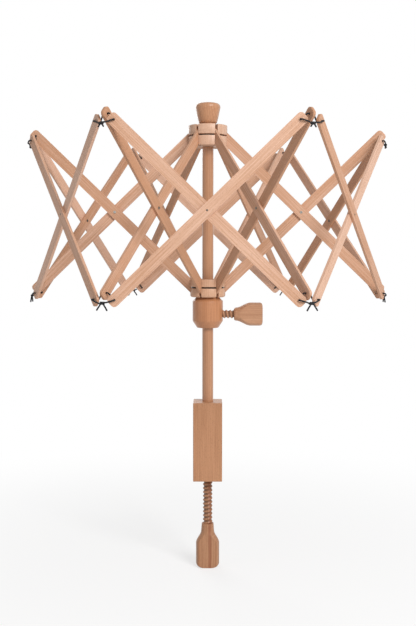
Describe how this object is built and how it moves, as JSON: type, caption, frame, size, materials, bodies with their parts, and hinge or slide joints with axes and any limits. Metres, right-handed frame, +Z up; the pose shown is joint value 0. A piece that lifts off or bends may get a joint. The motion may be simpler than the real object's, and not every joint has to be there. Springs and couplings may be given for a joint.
{
  "type": "umbrella swift",
  "caption": "Wooden umbrella yarn swift: scissor ribs and crossed slats fold round a post on a table clamp, and the cage spins.",
  "frame": {"origin": "on the post's axis, level with the table top, in the plane of the upper jaw's underside", "axes": "+Z up along the post; -Y towards the viewer, the clamp's spine side; +X towards the thumb screw"},
  "size_m": [0.5148, 0.4568, 0.6783],
  "materials": {
    "oiled_wood": "oiled",
    "strip_wood": "satin",
    "black_cord": "matt braided",
    "black_wire": "black annealed",
    "rivet_steel": "dull"
  },
  "bodies": {
    "stand": {"clamp_block": "oiled_wood", "post": "oiled_wood", "finial": "oiled_wood"},
    "upper_hub": {"upper_hub": "strip_wood", "upper_hub_wire": "black_wire"},
    "lower_hub": {"lower_hub": "strip_wood", "lower_hub_wire": "black_wire"},
    "collar": {"collar": "oiled_wood"},
    "thumb_screw": {"thumb_screw": "oiled_wood"},
    "clamp_screw": {"clamp_screw": "oiled_wood"},
    "down_rib_1": {"down_rib_1": "strip_wood", "rib_rivet_1": "rivet_steel"},
    "up_rib_1": {"up_rib_1": "strip_wood"},
    "top_tie_1": {"top_tie_1": "black_cord"},
    "bottom_tie_1": {"bottom_tie_1": "black_cord"},
    "rise_slat_1": {"rise_slat_1": "strip_wood", "slat_rivet_1": "rivet_steel"},
    "fall_slat_1": {"fall_slat_1": "strip_wood"},
    "down_rib_2": {"down_rib_2": "strip_wood", "rib_rivet_2": "rivet_steel"},
    "up_rib_2": {"up_rib_2": "strip_wood"},
    "top_tie_2": {"top_tie_2": "black_cord"},
    "bottom_tie_2": {"bottom_tie_2": "black_cord"},
    "rise_slat_2": {"rise_slat_2": "strip_wood", "slat_rivet_2": "rivet_steel"},
    "fall_slat_2": {"fall_slat_2": "strip_wood"},
    "down_rib_3": {"down_rib_3": "strip_wood", "rib_rivet_3": "rivet_steel"},
    "up_rib_3": {"up_rib_3": "strip_wood"},
    "top_tie_3": {"top_tie_3": "black_cord"},
    "bottom_tie_3": {"bottom_tie_3": "black_cord"},
    "rise_slat_3": {"rise_slat_3": "strip_wood", "slat_rivet_3": "rivet_steel"},
    "fall_slat_3": {"fall_slat_3": "strip_wood"},
    "down_rib_4": {"down_rib_4": "strip_wood", "rib_rivet_4": "rivet_steel"},
    "up_rib_4": {"up_rib_4": "strip_wood"},
    "top_tie_4": {"top_tie_4": "black_cord"},
    "bottom_tie_4": {"bottom_tie_4": "black_cord"},
    "rise_slat_4": {"rise_slat_4": "strip_wood", "slat_rivet_4": "rivet_steel"},
    "fall_slat_4": {"fall_slat_4": "strip_wood"},
    "down_rib_5": {"down_rib_5": "strip_wood", "rib_rivet_5": "rivet_steel"},
    "up_rib_5": {"up_rib_5": "strip_wood"},
    "top_tie_5": {"top_tie_5": "black_cord"},
    "bottom_tie_5": {"bottom_tie_5": "black_cord"},
    "rise_slat_5": {"rise_slat_5": "strip_wood", "slat_rivet_5": "rivet_steel"},
    "fall_slat_5": {"fall_slat_5": "strip_wood"},
    "down_rib_6": {"down_rib_6": "strip_wood", "rib_rivet_6": "rivet_steel"},
    "up_rib_6": {"up_rib_6": "strip_wood"},
    "top_tie_6": {"top_tie_6": "black_cord"},
    "bottom_tie_6": {"bottom_tie_6": "black_cord"},
    "rise_slat_6": {"rise_slat_6": "strip_wood", "slat_rivet_6": "rivet_steel"},
    "fall_slat_6": {"fall_slat_6": "strip_wood"}
  },
  "joints": [
    {"name": "spin", "type": "hinge", "parent": "stand", "child": "upper_hub", "pos_m": [0, 0, 0.4223], "axis": [0, 0, 1], "continuous": true},
    {"name": "fold", "type": "hinge", "parent": "upper_hub", "child": "down_rib_1", "pos_m": [0.022, 0, 0.4223], "axis": [0, 1, 0], "range_deg": [-22, 35]},
    {"name": "up_rib_1_rivet", "type": "hinge", "parent": "down_rib_1", "child": "up_rib_1", "pos_m": [0.13422, 0, 0.31393], "axis": [0, 1, 0], "range_deg": [-71, 45]},
    {"name": "top_tie_1_tilt", "type": "hinge", "parent": "up_rib_1", "child": "top_tie_1", "pos_m": [0.24643, 0, 0.4223], "axis": [0, 1, 0], "range_deg": [-23, 36]},
    {"name": "bottom_tie_1_tilt", "type": "hinge", "parent": "down_rib_1", "child": "bottom_tie_1", "pos_m": [0.24643, 0, 0.20557], "axis": [0, 1, 0], "range_deg": [-36, 23]},
    {"name": "down_rib_2_hinge", "type": "hinge", "parent": "upper_hub", "child": "down_rib_2", "pos_m": [0.011, 0.01905, 0.4223], "axis": [-0.866, 0.5, 0], "range_deg": [-23, 36]},
    {"name": "up_rib_2_rivet", "type": "hinge", "parent": "down_rib_2", "child": "up_rib_2", "pos_m": [0.06711, 0.11624, 0.31393], "axis": [-0.866, 0.5, 0], "range_deg": [-71, 45]},
    {"name": "top_tie_2_tilt", "type": "hinge", "parent": "up_rib_2", "child": "top_tie_2", "pos_m": [0.12322, 0.21342, 0.4223], "axis": [-0.866, 0.5, 0], "range_deg": [-23, 36]},
    {"name": "bottom_tie_2_tilt", "type": "hinge", "parent": "down_rib_2", "child": "bottom_tie_2", "pos_m": [0.12322, 0.21342, 0.20557], "axis": [-0.866, 0.5, 0], "range_deg": [-36, 23]},
    {"name": "down_rib_3_hinge", "type": "hinge", "parent": "upper_hub", "child": "down_rib_3", "pos_m": [-0.011, 0.01905, 0.4223], "axis": [-0.866, -0.5, 0], "range_deg": [-23, 36]},
    {"name": "up_rib_3_rivet", "type": "hinge", "parent": "down_rib_3", "child": "up_rib_3", "pos_m": [-0.06711, 0.11624, 0.31393], "axis": [-0.866, -0.5, 0], "range_deg": [-71, 45]},
    {"name": "top_tie_3_tilt", "type": "hinge", "parent": "up_rib_3", "child": "top_tie_3", "pos_m": [-0.12322, 0.21342, 0.4223], "axis": [-0.866, -0.5, 0], "range_deg": [-23, 36]},
    {"name": "bottom_tie_3_tilt", "type": "hinge", "parent": "down_rib_3", "child": "bottom_tie_3", "pos_m": [-0.12322, 0.21342, 0.20557], "axis": [-0.866, -0.5, 0], "range_deg": [-36, 23]},
    {"name": "down_rib_4_hinge", "type": "hinge", "parent": "upper_hub", "child": "down_rib_4", "pos_m": [-0.022, 0, 0.4223], "axis": [0, -1, 0], "range_deg": [-23, 36]},
    {"name": "up_rib_4_rivet", "type": "hinge", "parent": "down_rib_4", "child": "up_rib_4", "pos_m": [-0.13422, 0, 0.31393], "axis": [0, -1, 0], "range_deg": [-71, 45]},
    {"name": "top_tie_4_tilt", "type": "hinge", "parent": "up_rib_4", "child": "top_tie_4", "pos_m": [-0.24643, 0, 0.4223], "axis": [0, -1, 0], "range_deg": [-23, 36]},
    {"name": "bottom_tie_4_tilt", "type": "hinge", "parent": "down_rib_4", "child": "bottom_tie_4", "pos_m": [-0.24643, 0, 0.20557], "axis": [0, -1, 0], "range_deg": [-36, 23]},
    {"name": "down_rib_5_hinge", "type": "hinge", "parent": "upper_hub", "child": "down_rib_5", "pos_m": [-0.011, -0.01905, 0.4223], "axis": [0.866, -0.5, 0], "range_deg": [-23, 36]},
    {"name": "up_rib_5_rivet", "type": "hinge", "parent": "down_rib_5", "child": "up_rib_5", "pos_m": [-0.06711, -0.11624, 0.31393], "axis": [0.866, -0.5, 0], "range_deg": [-71, 45]},
    {"name": "top_tie_5_tilt", "type": "hinge", "parent": "up_rib_5", "child": "top_tie_5", "pos_m": [-0.12322, -0.21342, 0.4223], "axis": [0.866, -0.5, 0], "range_deg": [-23, 36]},
    {"name": "bottom_tie_5_tilt", "type": "hinge", "parent": "down_rib_5", "child": "bottom_tie_5", "pos_m": [-0.12322, -0.21342, 0.20557], "axis": [0.866, -0.5, 0], "range_deg": [-36, 23]},
    {"name": "down_rib_6_hinge", "type": "hinge", "parent": "upper_hub", "child": "down_rib_6", "pos_m": [0.011, -0.01905, 0.4223], "axis": [0.866, 0.5, 0], "range_deg": [-23, 36]},
    {"name": "up_rib_6_rivet", "type": "hinge", "parent": "down_rib_6", "child": "up_rib_6", "pos_m": [0.06711, -0.11624, 0.31393], "axis": [0.866, 0.5, 0], "range_deg": [-71, 45]},
    {"name": "top_tie_6_tilt", "type": "hinge", "parent": "up_rib_6", "child": "top_tie_6", "pos_m": [0.12322, -0.21342, 0.4223], "axis": [0.866, 0.5, 0], "range_deg": [-23, 36]},
    {"name": "bottom_tie_6_tilt", "type": "hinge", "parent": "down_rib_6", "child": "bottom_tie_6", "pos_m": [0.12322, -0.21342, 0.20557], "axis": [0.866, 0.5, 0], "range_deg": [-36, 23]},
    {"name": "rise_slat_1_hinge", "type": "hinge", "parent": "bottom_tie_1", "child": "rise_slat_1", "pos_m": [0.24942, 0.01443, 0.19757], "axis": [0.866, 0.5, 0], "range_deg": [-23, 36]},
    {"name": "fall_slat_1_hinge", "type": "hinge", "parent": "top_tie_1", "child": "fall_slat_1", "pos_m": [0.2463, 0.01263, 0.4143], "axis": [0.866, 0.5, 0], "range_deg": [-36, 23]},
    {"name": "rise_slat_2_hinge", "type": "hinge", "parent": "bottom_tie_2", "child": "rise_slat_2", "pos_m": [0.11222, 0.21962, 0.19757], "axis": [0, 1, 0], "range_deg": [-23, 36]},
    {"name": "fall_slat_2_hinge", "type": "hinge", "parent": "top_tie_2", "child": "fall_slat_2", "pos_m": [0.11222, 0.22322, 0.4143], "axis": [0, 1, 0], "range_deg": [-36, 23]},
    {"name": "rise_slat_3_hinge", "type": "hinge", "parent": "bottom_tie_3", "child": "rise_slat_3", "pos_m": [-0.1372, 0.20879, 0.19757], "axis": [-0.866, 0.5, 0], "range_deg": [-23, 36]},
    {"name": "fall_slat_3_hinge", "type": "hinge", "parent": "top_tie_3", "child": "fall_slat_3", "pos_m": [-0.13409, 0.20699, 0.4143], "axis": [-0.866, 0.5, 0], "range_deg": [-36, 23]},
    {"name": "rise_slat_4_hinge", "type": "hinge", "parent": "bottom_tie_4", "child": "rise_slat_4", "pos_m": [-0.2463, -0.01263, 0.19757], "axis": [-0.866, -0.5, 0], "range_deg": [-23, 36]},
    {"name": "fall_slat_4_hinge", "type": "hinge", "parent": "top_tie_4", "child": "fall_slat_4", "pos_m": [-0.24942, -0.01443, 0.4143], "axis": [-0.866, -0.5, 0], "range_deg": [-36, 23]},
    {"name": "rise_slat_5_hinge", "type": "hinge", "parent": "bottom_tie_5", "child": "rise_slat_5", "pos_m": [-0.11222, -0.22322, 0.19757], "axis": [0, -1, 0], "range_deg": [-23, 36]},
    {"name": "fall_slat_5_hinge", "type": "hinge", "parent": "top_tie_5", "child": "fall_slat_5", "pos_m": [-0.11222, -0.21962, 0.4143], "axis": [0, -1, 0], "range_deg": [-36, 23]},
    {"name": "rise_slat_6_hinge", "type": "hinge", "parent": "bottom_tie_6", "child": "rise_slat_6", "pos_m": [0.13409, -0.20699, 0.19757], "axis": [0.866, -0.5, 0], "range_deg": [-23, 36]},
    {"name": "fall_slat_6_hinge", "type": "hinge", "parent": "top_tie_6", "child": "fall_slat_6", "pos_m": [0.1372, -0.20879, 0.4143], "axis": [0.866, -0.5, 0], "range_deg": [-36, 23]},
    {"name": "lower_hub_travel", "type": "hinge", "parent": "up_rib_1", "child": "lower_hub", "pos_m": [0.022, 0, 0.20557], "axis": [0, 1, 0], "range_deg": [-23, 36]},
    {"name": "collar_stays", "type": "hinge", "parent": "lower_hub", "child": "collar", "pos_m": [0, 0, 0.14557], "axis": [0, 0, 1], "continuous": true},
    {"name": "thumb_screw_travel", "type": "slide", "parent": "collar", "child": "thumb_screw", "axis": [1, 0, 0], "range_m": [0, 0.006]},
    {"name": "clamp_screw_travel", "type": "slide", "parent": "stand", "child": "clamp_screw", "axis": [0, 0, 1], "range_m": [-0.009, 0.035]}
  ],
  "couplings": [
    {"joint": "up_rib_1_rivet", "follows": "fold", "ratio": -2},
    {"joint": "top_tie_1_tilt", "follows": "fold", "ratio": 1},
    {"joint": "bottom_tie_1_tilt", "follows": "fold", "ratio": -1},
    {"joint": "down_rib_2_hinge", "follows": "fold", "ratio": 1},
    {"joint": "up_rib_2_rivet", "follows": "fold", "ratio": -2},
    {"joint": "top_tie_2_tilt", "follows": "fold", "ratio": 1},
    {"joint": "bottom_tie_2_tilt", "follows": "fold", "ratio": -1},
    {"joint": "down_rib_3_hinge", "follows": "fold", "ratio": 1},
    {"joint": "up_rib_3_rivet", "follows": "fold", "ratio": -2},
    {"joint": "top_tie_3_tilt", "follows": "fold", "ratio": 1},
    {"joint": "bottom_tie_3_tilt", "follows": "fold", "ratio": -1},
    {"joint": "down_rib_4_hinge", "follows": "fold", "ratio": 1},
    {"joint": "up_rib_4_rivet", "follows": "fold", "ratio": -2},
    {"joint": "top_tie_4_tilt", "follows": "fold", "ratio": 1},
    {"joint": "bottom_tie_4_tilt", "follows": "fold", "ratio": -1},
    {"joint": "down_rib_5_hinge", "follows": "fold", "ratio": 1},
    {"joint": "up_rib_5_rivet", "follows": "fold", "ratio": -2},
    {"joint": "top_tie_5_tilt", "follows": "fold", "ratio": 1},
    {"joint": "bottom_tie_5_tilt", "follows": "fold", "ratio": -1},
    {"joint": "down_rib_6_hinge", "follows": "fold", "ratio": 1},
    {"joint": "up_rib_6_rivet", "follows": "fold", "ratio": -2},
    {"joint": "top_tie_6_tilt", "follows": "fold", "ratio": 1},
    {"joint": "bottom_tie_6_tilt", "follows": "fold", "ratio": -1},
    {"joint": "rise_slat_1_hinge", "follows": "fold", "ratio": 1},
    {"joint": "fall_slat_1_hinge", "follows": "fold", "ratio": -1},
    {"joint": "rise_slat_2_hinge", "follows": "fold", "ratio": 1},
    {"joint": "fall_slat_2_hinge", "follows": "fold", "ratio": -1},
    {"joint": "rise_slat_3_hinge", "follows": "fold", "ratio": 1},
    {"joint": "fall_slat_3_hinge", "follows": "fold", "ratio": -1},
    {"joint": "rise_slat_4_hinge", "follows": "fold", "ratio": 1},
    {"joint": "fall_slat_4_hinge", "follows": "fold", "ratio": -1},
    {"joint": "rise_slat_5_hinge", "follows": "fold", "ratio": 1},
    {"joint": "fall_slat_5_hinge", "follows": "fold", "ratio": -1},
    {"joint": "rise_slat_6_hinge", "follows": "fold", "ratio": 1},
    {"joint": "fall_slat_6_hinge", "follows": "fold", "ratio": -1},
    {"joint": "lower_hub_travel", "follows": "fold", "ratio": 1},
    {"joint": "collar_stays", "follows": "spin", "ratio": -1}
  ]
}
